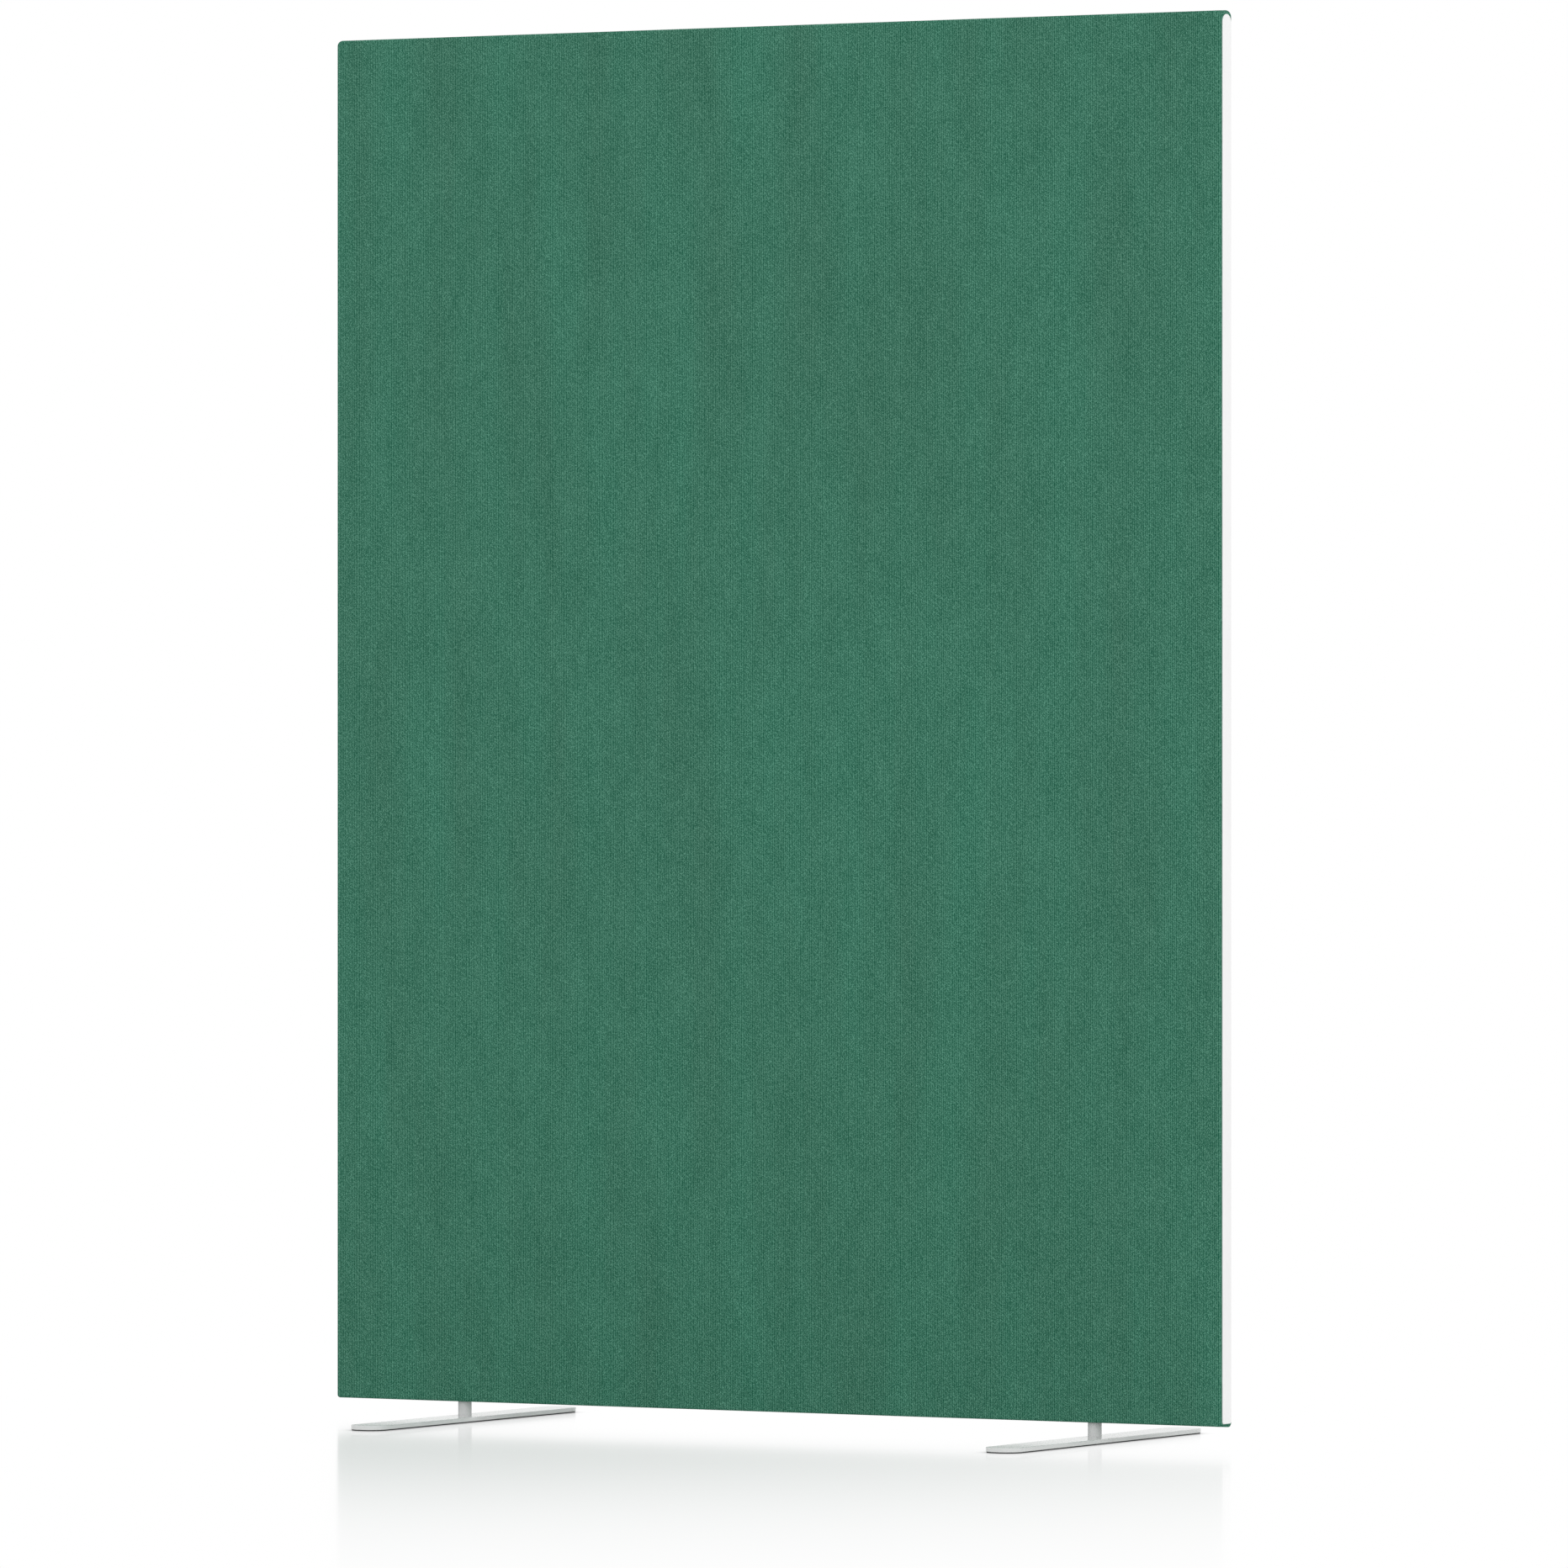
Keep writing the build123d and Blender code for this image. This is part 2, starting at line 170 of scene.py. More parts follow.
beech, tree, shader, place = start_finish("fluted_beech")
flecks = mottle(tree, place, size=(0.004, 0.0004, 0.0004), detail=3.0)
flutes = mottle(tree, place, size=(0.08, 0.0008, 0.0008), detail=0.0)
wood = shades(tree, spread(tree, flecks, start=0.5, end=0.75), dowel_light, dowel_dark)
# Painted shade: the colour goes darker down in the flutes, where the relief is low.
flute_shaded = shades(tree, spread(tree, flutes, start=0.42, end=0.3, high=0.6), wood, dowel_dark)
paint(tree, shader, flute_shaded, flecks, roughness=(0.5, 0.68))
relief(tree, shader, flutes, depth=0.0002)
dress(beech, "frame_dowels")


# The centre board is one sheet of raw hardboard in the grooves of the frame.
# It is pressed from brown wood fibre, smooth and slightly shiny, with short paler fibres all through.
def add_up(tree, first, second):
    """The sum of two patterns, each given with its share."""
    return sums(tree, "MULTIPLY_ADD", *first, sums(tree, "MULTIPLY", *second))


board_dark = (0.15, 0.08, 0.037)
board_light = (0.27, 0.16, 0.08)

hardboard, tree, shader, place = start_finish("raw_hardboard")
fibres = mottle(tree, place, size=(0.0022, 0.0022, 0.0007), detail=3.0)
clouds = mottle(tree, place, size=0.09)
pressed = add_up(tree, (clouds, 0.5), (fibres, 0.6))
brown = shades(tree, spread(tree, pressed, start=0.38, end=0.72), board_dark, board_light)
paint(tree, shader, brown, fibres, roughness=(0.42, 0.6))
relief(tree, shader, fibres, depth=0.00008)
dress(hardboard, "centre_board")


# Two absorber slabs of pressed polyester felt fill the bay, one on each side of the board.
# They are cut with a knife, so the edges are a little soft, and the needled faces are gently uneven.
def rounded_skin(sharp, low, high, edge, top_corner, bottom_corner):
    """Moves points of a sharp box onto the same box with round edges and corners.

    Each point goes to the nearest point of a core, which is the box drawn in by the edge radius with
    its upper and lower corners rounded, and then out again by the edge radius. Returns the new points
    and the directions that point straight out of the surface there.
    """
    least = edge * 1e-6
    x, y, z = np.moveaxis(sharp, -1, 0)
    upper = z > (low[2] + high[2]) / 2
    corner = np.where(upper, top_corner, bottom_corner)
    middle = (low[0] + high[0]) / 2
    past_x = np.sign(x - middle) * np.maximum(np.abs(x - middle) - (high[0] - middle - corner), 0)
    past_z = np.where(upper, np.maximum(z - high[2] + corner, 0), np.minimum(z - low[2] - corner, 0))
    past = np.maximum(np.hypot(past_x, past_z), least)
    drawn_in = 1 - np.minimum((corner - edge) / past, 1)
    core_y = np.clip(y, low[1] + edge, high[1] - edge)
    core = np.stack([x - past_x * drawn_in, core_y, z - past_z * drawn_in], axis=-1)
    away = sharp - core
    outward = away / np.maximum(np.linalg.norm(away, axis=-1, keepdims=True), least)
    return core + edge * outward, outward


def grid_piece(name, points, finish, closed_rows=False, cut=None):
    """A mesh through a grid of points, rows by columns; cut is each point's place on the flat cloth."""
    rows, columns = points.shape[:2]
    number = np.arange(rows * columns).reshape(rows, columns)
    below = number if closed_rows else number[:-1]
    above = np.roll(number, -1, axis=0) if closed_rows else number[1:]
    corners = [below[:, :-1], below[:, 1:], above[:, 1:], above[:, :-1]]
    faces = np.stack(corners, axis=-1).reshape(-1, 4)
    mesh = bpy.data.meshes.new(name)
    mesh.from_pydata(points.reshape(-1, 3), [], faces)
    mesh.shade_smooth()
    if cut is not None:
        layer = mesh.uv_layers.new(name="flat_cloth")
        layer.uv.foreach_set("vector", cut.reshape(-1, 2)[faces.ravel()].ravel().astype(np.float32))
    mesh.materials.append(finish)
    piece = bpy.data.objects.new(name, mesh)
    bpy.context.scene.collection.objects.link(piece)
    return piece


def section_points(depth, height):
    """Points of a section across the panel; the depth or the height may be one value for all of them."""
    return np.stack(np.broadcast_arrays(depth, height), axis=-1)


def padding_slab(name, node, finish, clear, edge, corner, loft, lumps):
    """A soft slab in the space of a solid: a loop over its faces, carried along X and closed at both ends.

    The loop is the slab's section across its thickness. At each end the sections shrink to a line, so
    the skin is closed. The faces sink by up to the loft between lumps, a sum of two crossed waves: each
    is a sine along one axis that sways with a longer sine along the other.
    """
    column_count = 97
    row_count = 129
    edge_angles = (0, 20, 38, 45)
    end_shrink = (0.0, 0.35, 0.7, 0.9)
    sway_along, sway_up = 1.7, 1.3
    tighter_up = 1.31

    box_low, box_high = (np.array(corner_point) for corner_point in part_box(node))
    low, high = box_low + clear, box_high - clear
    middle, half = (low + high) / 2, (high - low) / 2
    run_in = edge * np.tan(np.radians(edge_angles))
    body = np.linspace(low[0] + edge, high[0] - edge, column_count)
    along = np.concatenate([low[0] + edge - run_in[:0:-1], body, high[0] - edge + run_in[1:]])
    ends = len(end_shrink)
    along = np.concatenate([[low[0]] * ends, along, [high[0]] * ends])
    shrink = np.ones(along.size)
    shrink[:ends] = end_shrink
    shrink[-ends:] = end_shrink[::-1]
    shorten = (half[2] - half[1] * (1 - shrink)) / half[2]

    rise = np.linspace(-half[2] + edge, half[2] - edge, row_count)
    rise = np.concatenate([[-half[2]], rise, [half[2]]])
    depth = np.array([-half[1], -half[1] + edge, half[1] - edge, half[1]])
    up = section_points(-half[1], rise)
    over = section_points(depth[1:], half[2])
    down = section_points(half[1], rise[-2::-1])
    back = section_points(depth[-2:0:-1], -half[2])
    loop = np.concatenate([up, over, down, back])

    sharp = np.empty((len(loop), along.size, 3))
    sharp[..., 0] = along
    sharp[..., 1] = middle[1] + loop[:, :1] * shrink
    sharp[..., 2] = middle[2] + loop[:, 1:] * shorten
    skin, outward = rounded_skin(sharp, low, high, edge, corner, corner)
    x, z = skin[..., 0], skin[..., 2]
    wave_along = np.sin(x * lumps + sway_along * np.sin(z * lumps / 3))
    wave_up = np.sin(z * lumps * tighter_up + sway_up * np.sin(x * lumps / 2))
    wave = (wave_along + wave_up)[..., None]
    skin = skin - outward * loft * (2 - wave) / 4 * np.abs(outward[..., 1:2])
    slab = grid_piece(name, skin, finish, closed_rows=True)
    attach(slab, "panel")
    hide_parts(node)
    return slab


felt_dark = (0.16, 0.168, 0.175)
felt_light = (0.4, 0.41, 0.42)

felt, tree, shader, place = start_finish("pressed_polyester_felt", Sheen_Weight=0.15)
strands = mottle(tree, place, size=(0.0016, 0.0016, 0.0005), detail=4.0)
needling = mottle(tree, place, size=0.004, detail=1.0)
fleck = add_up(tree, (needling, 0.35), (strands, 0.7))
grey = shades(tree, spread(tree, fleck, start=0.38, end=0.68), felt_dark, felt_light)
paint(tree, shader, grey, strands, roughness=(0.98, 0.85))
relief(tree, shader, fleck, depth=0.0005)

for side in ("front", "rear"):
    felt_slab = padding_slab(
        f"{side}_felt_slab",
        f"{side}_absorber",
        felt,
        clear=0.0003,
        edge=0.0011,
        corner=0.0016,
        loft=0.0002,
        lumps=45.0,
    )


# Two sheets of bonded polyester wadding lie over the frame and its felt, one under each face.
# They give the cloth its smooth face and its soft round edges, and are white and springy.
wadding_shadow = (0.7, 0.7, 0.68)
wadding_white = (0.88, 0.88, 0.865)

wadding, tree, shader, place = start_finish("polyester_wadding", Sheen_Weight=0.3)
fluff = mottle(tree, place, size=(0.005, 0.0025, 0.005), detail=5.0)
white = shades(tree, spread(tree, fluff, start=0.35, end=0.62), wadding_shadow, wadding_white)
paint(tree, shader, white, fluff, roughness=(0.98, 0.88))
relief(tree, shader, fluff, depth=0.0008)

for side in ("front", "rear"):
    soft_sheet = padding_slab(
        f"{side}_wadding_sheet",
        f"{side}_wadding",
        wadding,
        clear=0.0003,
        edge=0.0016,
        corner=0.006,
        loft=0.0004,
        lumps=30.0,
    )


# The cover is one length of green ribbed melange cloth, cut with its ribs running up the panel.
# It goes up the front, over the top and down the rear, and its two ends lap under the bottom rail.
# Both side edges turn round the stiles and are knocked into their slots under the edge strips.
rib_pitch = 0.0025
rib_columns = 3
rib_crown = 0.00006
rib_valley = -0.00012
rib_run_out = 0.0004
cloth_edge = 0.0025
cloth_top_corner = 0.007
cloth_bottom_corner = 0.0035
slot_inset_depth = 0.0121
slot_inset_height = 0.0176
tuck_depth = 0.008
strip_cover_inset = 0.004
front_flap_end = 0.006
rear_flap_end = -0.005
lap_margin = 0.00085
lap_rise = 0.00045
hem_rise = 0.8 * lap_rise
post_hole = 0.0085
gather_length = 0.004
gather_rise = 0.0014

cloth_low, cloth_high = (np.array(corner_point) for corner_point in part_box("fabric_cover"))
cloth_half = (cloth_high - cloth_low) / 2
cloth_middle = (cloth_high + cloth_low) / 2
face_end = cloth_high[0] - cloth_edge
turn_length = cloth_edge * math.pi / 2
slot_line = face_end + turn_length + slot_inset_depth - cloth_edge
half_cut = slot_line + tuck_depth
column_step = rib_pitch / rib_columns
column_count = int(half_cut / column_step)
column_number = np.arange(-column_count, column_count + 1)
across = column_number * column_step
reach = np.abs(across)

# Where each column of the cloth lies: along X, how far it is drawn in on the end, and how deep it is tucked
angle = np.clip((reach - face_end) / cloth_edge, 0, math.pi / 2)
first_half = np.minimum(angle, math.pi / 4)
second_half = np.maximum(angle, math.pi / 4)
to_end = np.minimum(reach, face_end) + cloth_edge * np.tan(first_half)
column_x = np.sign(across) * np.minimum(to_end, cloth_high[0])
on_end = np.clip(reach - face_end - turn_length, 0, slot_line - face_end - turn_length)
inset = cloth_edge * (1 - 1 / np.tan(second_half)) + on_end
tucked = np.maximum(reach - slot_line, 0)

# The rows go round the panel's section; the flaps come first and last
face_row_count = 9
high_row_count = 5
edge_angles = (0, 22.5, 45)
flap_share = np.array([1.0, 0.8, 0.6, 0.42, 0.36, 0.3, 0.15])[:, None]

run_out = cloth_edge * np.tan(np.radians(edge_angles))
sill, crown = cloth_low[2], cloth_high[2]
low_bend = sill + cloth_edge - run_out[:0:-1]
face_rows = np.linspace(sill + cloth_bottom_corner, crown - cloth_top_corner, face_row_count)
high_rows = np.linspace(crown - cloth_top_corner, crown - cloth_edge, high_row_count)[1:]
high_bend = crown - cloth_edge + run_out[1:]
climb = np.concatenate([low_bend, [sill + cloth_edge], face_rows, high_rows, high_bend])
depth_edge = cloth_half[1] - cloth_edge
bottom_out = section_points(-(depth_edge + run_out), sill)
front_up = section_points(-cloth_half[1], climb)
top_half = section_points([-depth_edge - run_out[1], -depth_edge, -depth_edge / 3], crown)
front_loop = np.concatenate([bottom_out[:-1], front_up, top_half])
loop = np.concatenate([front_loop, front_loop[::-1] * (-1, 1)])

foot_axes = [joint["pos_m"][0] for joint in frame["joints"]]
to_post = np.min([np.abs(column_x - foot_axis) for foot_axis in foot_axes], axis=0)
notch = np.sqrt(np.maximum(post_hole**2 - to_post**2, 0))
front_end = np.where(notch > 0, -notch, front_flap_end)
rear_end = np.where(notch > 0, notch, rear_flap_end)
front_flap = -depth_edge + flap_share * (front_end + depth_edge)
rear_flap = depth_edge + flap_share[::-1] * (rear_end - depth_edge)

flap_rows = len(flap_share)
row_y = np.concatenate([front_flap, np.repeat(loop[:, :1], across.size, axis=1), rear_flap])
row_z = np.full(row_y.shape, sill)
row_z[flap_rows:-flap_rows] = loop[:, 1:]
draw_in = 1 - inset / cloth_half[1]
draw_up = 1 - inset * slot_inset_height / slot_inset_depth / cloth_half[2]
sharp = np.empty((*row_y.shape, 3))
sharp[..., 0] = column_x
sharp[..., 1] = row_y * draw_in
sharp[..., 2] = cloth_middle[2] + (row_z - cloth_middle[2]) * draw_up
skin, outward = rounded_skin(sharp, cloth_low, cloth_high, cloth_edge, cloth_top_corner, cloth_bottom_corner)

rib_height = np.where(column_number % rib_columns == 0, rib_valley, rib_crown)
rib_height = rib_height * np.clip((strip_cover_inset - inset) / rib_run_out, 0, 1)
skin = skin + outward * rib_height[:, None]

# The spare cloth at the four corners is gathered under the end, and makes the rear half a little proud
rearward = np.clip((skin[..., 1] / (cloth_half[1] - cloth_edge) + 1) / 2, 0, 1)
into_gather = np.abs(skin[..., 0]) - cloth_high[0] + cloth_top_corner + gather_length
gathered = np.clip(into_gather / gather_length, 0, 1)
gathered = gather_rise * rearward * gathered * gathered * (3 - 2 * gathered)
skin[..., 2] += gathered * outward[..., 2]
skin[..., 0] -= np.sign(across) * tucked
under_lap = row_y[:flap_rows] > rear_flap_end - lap_margin
skin[:flap_rows, :, 2] += np.where(under_lap, lap_rise, 0)
skin[-1, :, 2] += hem_rise

row_steps = np.linalg.norm(np.diff(skin[:, across.size // 2], axis=0), axis=-1)
cloth_along = np.concatenate([[0.0], np.cumsum(row_steps)])
cut_width, cut_length = 2 * across[-1], cloth_along[-1]
cut = np.empty((*row_y.shape, 2))
cut[..., 0] = across / cut_width + 0.5
cut[..., 1] = cloth_along[:, None] / cut_length

# The tone of the yarn runs from 0, dark, to 1, light; each pattern shifts it by its contrast around its mean
dark_yarn = (0.003, 0.0825, 0.0452)
light_yarn = (0.1402, 0.3705, 0.2654)
faint_bloom = (1.0, 0.855, 0.855)
full_bloom = (1.0, 1.145, 1.145)
stitch_length = 0.001
stitch_slant = 0.6
stitch_height = 1.5
slub_length = 0.025
rib_shuffle = 7.31
fuzz = 0.0012
stand_out = 0.3
mean_tone = 0.324
mean_mottle = 0.5
mean_roundness = 4 / math.pi**2
mean_lone = 1 / 3
groove_shade_contrast = 0.23
pair_contrast = 0.023
gap_shade_contrast = 0.2
stitch_contrast = 0.6
slub_contrast = 0.05
grain_contrast = 0.45
patch_contrast = 0.16
drift_contrast = 0.17

cloth, tree, shader, place = start_finish("green_ribbed_melange", Specular_IOR_Level=0.15)
flat_cloth = add_node(tree, "UVMap", uv_map="flat_cloth").outputs["UV"]
cut_size = (cut_width, cut_length, 1.0)
on_cut = add_node(tree, "Mapping", {"Vector": flat_cloth, "Scale": cut_size}).outputs["Vector"]
on_cut_parts = add_node(tree, "SeparateXYZ", {"Vector": on_cut})
across_cut, along_cut = on_cut_parts.outputs["X"], on_cut_parts.outputs["Y"]
rib_turn = sums(tree, "DIVIDE", sums(tree, "SUBTRACT", across_cut, cut_width / 2), rib_pitch)
groove_shade_wave = sums(tree, "COSINE", sums(tree, "MULTIPLY", rib_turn, 2 * math.pi))
pair = sums(tree, "COSINE", sums(tree, "MULTIPLY", rib_turn, math.pi))
rib_number = sums(tree, "FLOOR", rib_turn)
rib_lane = sums(tree, "MULTIPLY", rib_number, rib_shuffle)
slub_turn = sums(tree, "DIVIDE", along_cut, slub_length)
rib_place = add_node(tree, "CombineXYZ", {"X": rib_lane, "Y": slub_turn}).outputs["Vector"]
slub = mottle(tree, rib_place, size=1.0, detail=1.0)
fibre = mottle(tree, on_cut, size=(0.0005, 0.0009, 1.0))
fuzzy = sums(tree, "MULTIPLY", sums(tree, "SUBTRACT", fibre, mean_mottle), fuzz)

# Two columns of slanted stitches make each rib, like the legs of a V, and each rib starts at its own height
from_crown = sums(tree, "ABSOLUTE", sums(tree, "SUBTRACT", sums(tree, "FRACT", rib_turn), 0.5))
rib_start = add_node(tree, "TexWhiteNoise", {"W": rib_number}, noise_dimensions="1D").outputs["Value"]
slant = sums(tree, "MULTIPLY_ADD", from_crown, 2 * stitch_slant, rib_start)
up_rib = sums(tree, "DIVIDE", sums(tree, "ADD", along_cut, fuzzy), stitch_length)
row_turn = sums(tree, "ADD", up_rib, slant)
column_turn = sums(tree, "MULTIPLY_ADD", fuzzy, 2 / rib_pitch, sums(tree, "MULTIPLY", rib_turn, 2.0))
counts = {"X": sums(tree, "FLOOR", column_turn), "Y": sums(tree, "FLOOR", row_turn)}
stitch_place = add_node(tree, "CombineXYZ", counts).outputs["Vector"]
across_stitch, along_stitch = (
    sums(tree, "ABSOLUTE", sums(tree, "SINE", sums(tree, "MULTIPLY", turn, math.pi)))
    for turn in (column_turn, row_turn)
)
roundness = sums(tree, "MULTIPLY", across_stitch, along_stitch)

# More stitches are dark than light, and each one stands out a little from the ones above and beside it
stitch_shades = []
for away in ((0.0, 0.0, 0.0), (0.0, 1.0, 0.0), (1.0, 0.0, 0.0)):
    neighbour = add_node(tree, "VectorMath", {0: stitch_place, 1: away}).outputs["Vector"]
    shade = add_node(tree, "TexWhiteNoise", {"Vector": neighbour}, noise_dimensions="2D").outputs["Value"]
    stitch_shades.append(shade)
stitch, above, beside = stitch_shades
around = sums(tree, "SUBTRACT", sums(tree, "ADD", above, beside), 1.0)
lone = sums(tree, "MULTIPLY_ADD", around, -stand_out, sums(tree, "MULTIPLY", stitch, stitch))
grain = mottle(tree, on_cut, size=(0.0024, 0.0032, 1.0), detail=1.0)
patch = mottle(tree, on_cut, size=(0.009, 0.016, 1.0), detail=1.0)
drift = mottle(tree, on_cut, size=(0.03, 0.08, 1.0))
# Painted shade: the tone is darkest along the grooves between the ribs, where the cloth also dips.
tone = sums(tree, "MULTIPLY_ADD", groove_shade_wave, -groove_shade_contrast, mean_tone)
tone = sums(tree, "MULTIPLY_ADD", pair, pair_contrast, tone)
# Painted shade: through the roundness, each stitch is lighter in its middle and darker at its edges and in
# the gaps between stitches.
for pattern, mean, contrast in (
    (roundness, mean_roundness, gap_shade_contrast),
    (lone, mean_lone, stitch_contrast),
    (slub, mean_mottle, slub_contrast),
    (grain, mean_mottle, grain_contrast),
    (patch, mean_mottle, patch_contrast),
    (drift, mean_mottle, drift_contrast),
):
    tone = sums(tree, "MULTIPLY_ADD", sums(tree, "SUBTRACT", pattern, mean), contrast, tone)
yarn = shades(tree, tone, dark_yarn, light_yarn)

# Long faint blooms of green and blue go up the cloth, and its red stays as it is
bloom = mottle(tree, on_cut, size=(0.07, 0.5, 1.0), detail=3.0)
tint = shades(tree, bloom, faint_bloom, full_bloom)
bloomed = add_node(tree, "Mix", {0: 1.0, 6: yarn, 7: tint}, data_type="RGBA", blend_type="MULTIPLY")
paint(tree, shader, bloomed.outputs[2], stitch, roughness=(0.95, 0.82))
relief(tree, shader, sums(tree, "MULTIPLY_ADD", roundness, stitch_height, fibre), depth=0.00005)

cover = grid_piece("cloth_cover", skin, cloth, cut=cut)
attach(cover, "panel")
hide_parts("fabric_cover")


# Staples close the lap under the bottom rail, and anchors, wood screws and foot screws hold the feet.
# All are bright zinc-plated steel: a bluish silver that is a little cloudy, with fine random scratches.
zinc_bright = (0.66, 0.67, 0.69)
zinc_dull = (0.47, 0.485, 0.5)

zinc, tree, shader, place = start_finish("bright_zinc_plate", Metallic=1.0)
cloudy = mottle(tree, place, size=0.006, detail=3.0)
scratch = mottle(tree, place, size=(0.0004, 0.006, 0.0004))
silver = shades(tree, spread(tree, cloudy, start=0.35, end=0.65), zinc_bright, zinc_dull)
paint(tree, shader, silver, cloudy, roughness=(0.24, 0.42))
relief(tree, shader, scratch, depth=0.00001)
dress(zinc, "cover_staples", "left_anchor", "right_anchor", "anchor_screws")
dress(zinc, "left_foot_screw", "right_foot_screw")


# An edge strip down each end is a white plastic extrusion with a barbed tongue in the stile's slot.
# Its outer face is smooth and satin, with faint lines along it from the die.
strip_white = (0.935, 0.935, 0.934)
strip_shade = (0.91, 0.91, 0.908)

plastic, tree, shader, place = start_finish("white_extruded_plastic")
die_lines = mottle(tree, place, size=(0.0007, 0.0007, 0.6), detail=1.0)
haze = mottle(tree, place, size=(0.03, 0.03, 0.12))
ivory = shades(tree, spread(tree, haze, start=0.3, end=0.7), strip_white, strip_shade)
paint(tree, shader, ivory, die_lines, roughness=(0.32, 0.44))
relief(tree, shader, die_lines, depth=0.000012)
dress(plastic, "left_edge_strip", "right_edge_strip")


# Each foot is a flat steel plate with a short round post, powder coated pale grey before assembly.
# The plate's coat has flowed out smooth and mirrors the room at a low angle; the post's is a dull satin.
# Both have a very fine orange peel and a slight speckle in the colour.
plate_light = (0.75, 0.76, 0.755)
plate_dark = (0.685, 0.695, 0.69)
post_light = (0.69, 0.695, 0.695)
post_dark = (0.61, 0.615, 0.615)

for member, light, dark, roughness in (
    ("plate", plate_light, plate_dark, (0.11, 0.15)),
    ("post", post_light, post_dark, (0.5, 0.62)),
):
    coat, tree, shader, place = start_finish(f"{member}_powder_coat")
    peel = mottle(tree, place, size=0.0014, detail=1.0)
    dust = mottle(tree, place, size=0.0005, detail=1.0)
    cloud = mottle(tree, place, size=0.05)
    speckle = add_up(tree, (cloud, 0.5), (dust, 0.5))
    pale = shades(tree, spread(tree, speckle, start=0.35, end=0.65), light, dark)
    paint(tree, shader, pale, peel, roughness)
    relief(tree, shader, peel, depth=0.000004)
    dress(coat, f"left_foot_{member}", f"right_foot_{member}")


# A thin black rubber pad is glued under each foot plate, drawn in a little from its edge.
# It is dull, with a fine moulded grain.
rubber_black = (0.018, 0.018, 0.019)
rubber_grey = (0.04, 0.04, 0.041)

rubber, tree, shader, place = start_finish("black_pad_rubber")
nap = mottle(tree, place, size=0.0006)
black = shades(tree, spread(tree, nap, start=0.35, end=0.65), rubber_black, rubber_grey)
paint(tree, shader, black, nap, roughness=(0.9, 0.72))
relief(tree, shader, nap, depth=0.00003)
dress(rubber, "left_foot_pad", "right_foot_pad")


# The floor is plain, white and polished. It keeps a soft contact shadow under the feet, and a blurred
# reflection of the screen that fades away from it. It isn't part of the object.
def seen_straight(tree):
    """1 for a ray from the camera, a mirror or a clear piece, and 0 for one that only gathers light."""
    ray = add_node(tree, "LightPath")
    seen = sums(tree, "MAXIMUM", ray.outputs["Is Camera Ray"], ray.outputs["Is Glossy Ray"])
    return sums(tree, "MAXIMUM", seen, ray.outputs["Is Transmission Ray"])


floor_reach = 30.0
floor_bounce = (0.78, 0.78, 0.78, 1.0)
shadow_width = 0.018
shadow_samples = 8
polish_index = 1.45
polish_blur = 0.12
polish_share = 0.52
polish_fade = 1.5
polish_spot = (-0.5, 0.0, 0.0)
pure_white = (1.0, 1.0, 1.0, 1.0)

floor_white, tree, shader, place = start_finish("polished_white_floor")
output = next(node for node in tree.nodes if node.type == "OUTPUT_MATERIAL")
tree.nodes.remove(shader)
contact = add_node(tree, "AmbientOcclusion", {"Distance": shadow_width}, samples=shadow_samples)
bare = add_node(tree, "Emission", {"Color": contact.outputs["Color"], "Strength": 1.0}).outputs[0]
gloss = add_node(tree, "BsdfGlossy", {"Color": pure_white, "Roughness": polish_blur}).outputs[0]
away = add_node(tree, "VectorMath", {0: place, 1: polish_spot}, operation="DISTANCE").outputs["Value"]
faded = sums(tree, "POWER", sums(tree, "DIVIDE", away, polish_fade), 2.0)
left = sums(tree, "EXPONENT", sums(tree, "MULTIPLY", faded, -1.0))
shine = sums(tree, "MULTIPLY", left, polish_share)
facing = add_node(tree, "Fresnel", {"IOR": polish_index}).outputs["Fac"]
share = sums(tree, "MULTIPLY", facing, shine)
polish = add_node(tree, "MixShader", {0: share, 1: bare, 2: gloss}).outputs[0]
matt = add_node(tree, "BsdfDiffuse", {"Color": floor_bounce}).outputs[0]
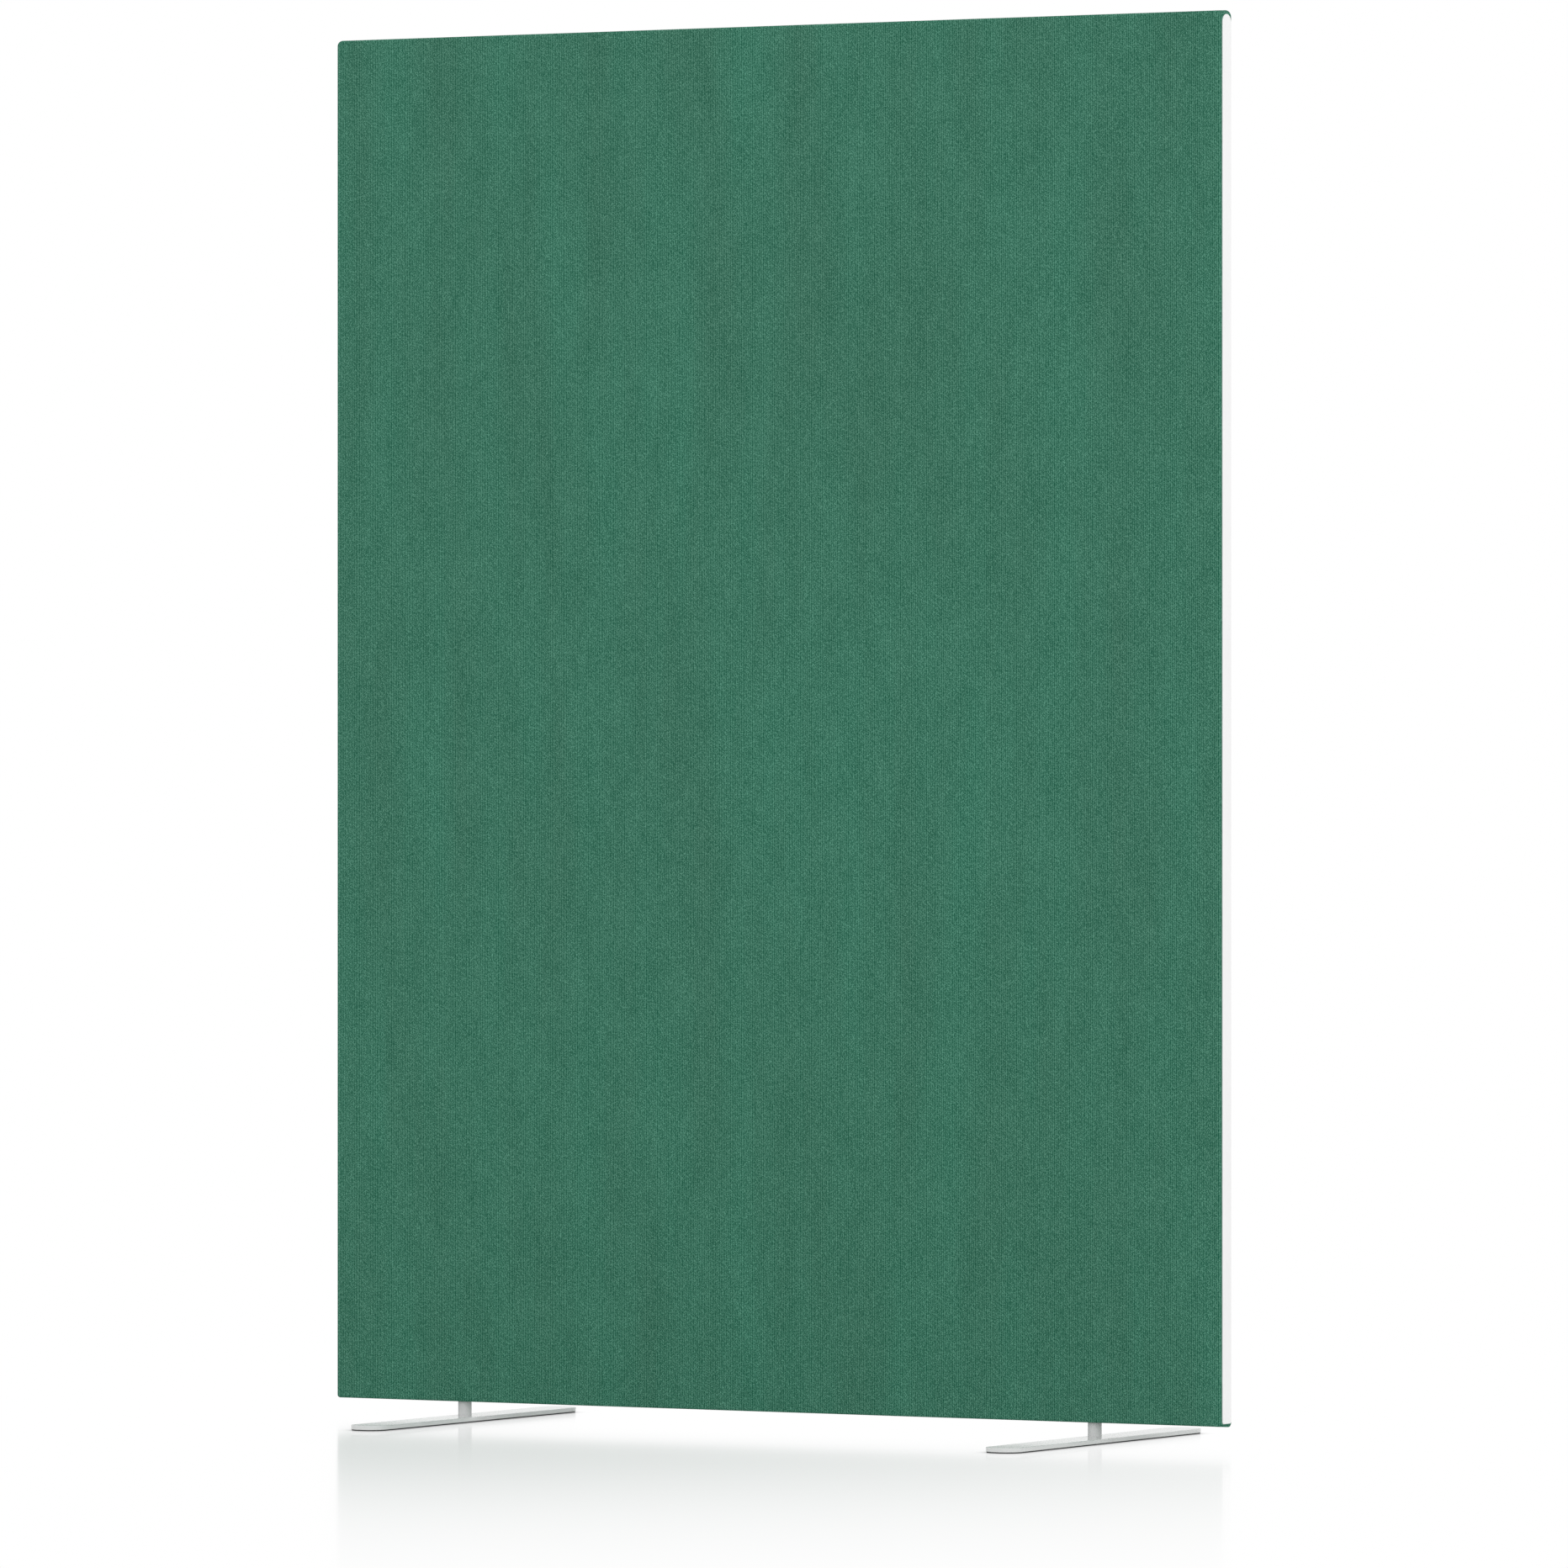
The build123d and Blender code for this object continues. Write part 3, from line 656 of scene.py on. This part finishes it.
ground = add_node(tree, "MixShader", {0: seen_straight(tree), 1: matt, 2: polish}).outputs[0]
tree.links.new(ground, output.inputs["Surface"])

floor_grid = np.zeros((2, 2, 3))
floor_grid[..., 0] = (-floor_reach, floor_reach)
floor_grid[..., 1] = ((-floor_reach,), (floor_reach,))
floor = grid_piece("floor", floor_grid, floor_white)


# The light is a plain white room and one large soft lamp above the front right.
# Seen straight or in a reflection the room is pure white; the light that it gives is a little weaker.
room_light = 0.95
lamp_place = (10.0, -8.5, 6.0)
lamp_aim = (0.0, 0.0, 0.9)
lamp_size = 8.0
lamp_power = 300.0

room = bpy.data.worlds.new("white_room")
room.use_nodes = True
bpy.context.scene.world = room
tree = room.node_tree
backdrop = next(node for node in tree.nodes if node.type == "BACKGROUND")
backdrop.inputs["Color"].default_value = pure_white
room_strength = spread(tree, seen_straight(tree), start=0.0, end=1.0, low=room_light)
tree.links.new(room_strength, backdrop.inputs["Strength"])

soft_lamp = bpy.data.lights.new("soft_lamp", "AREA")
soft_lamp.shape = "SQUARE"
soft_lamp.size = lamp_size
soft_lamp.energy = lamp_power
lamp = bpy.data.objects.new("soft_lamp", soft_lamp)
lamp.location = lamp_place
lamp_turn = np.array(lamp_aim) - np.array(lamp_place)
lamp.rotation_euler = (
    math.atan2(math.hypot(lamp_turn[0], lamp_turn[1]), -lamp_turn[2]),
    0.0,
    math.atan2(-lamp_turn[0], lamp_turn[1]),
)
bpy.context.scene.collection.objects.link(lamp)


# The camera stands level, far to the front right, behind a long lens, with its frame shifted down a little.
camera_place = (6.97754, -11.9568, 0.82257)
camera_turn = math.radians(30.2223)
camera_lens = 270.712
camera_shift = -0.03368
sensor_width = 36.0

camera_data = bpy.data.cameras.new("camera")
camera_data.sensor_width = sensor_width
camera_data.lens = camera_lens
camera_data.shift_y = camera_shift
camera = bpy.data.objects.new("camera", camera_data)
camera.location = camera_place
camera.rotation_euler = (math.pi / 2, 0.0, camera_turn)
bpy.context.scene.collection.objects.link(camera)
bpy.context.scene.camera = camera
bpy.context.scene.view_settings.view_transform = "Standard"
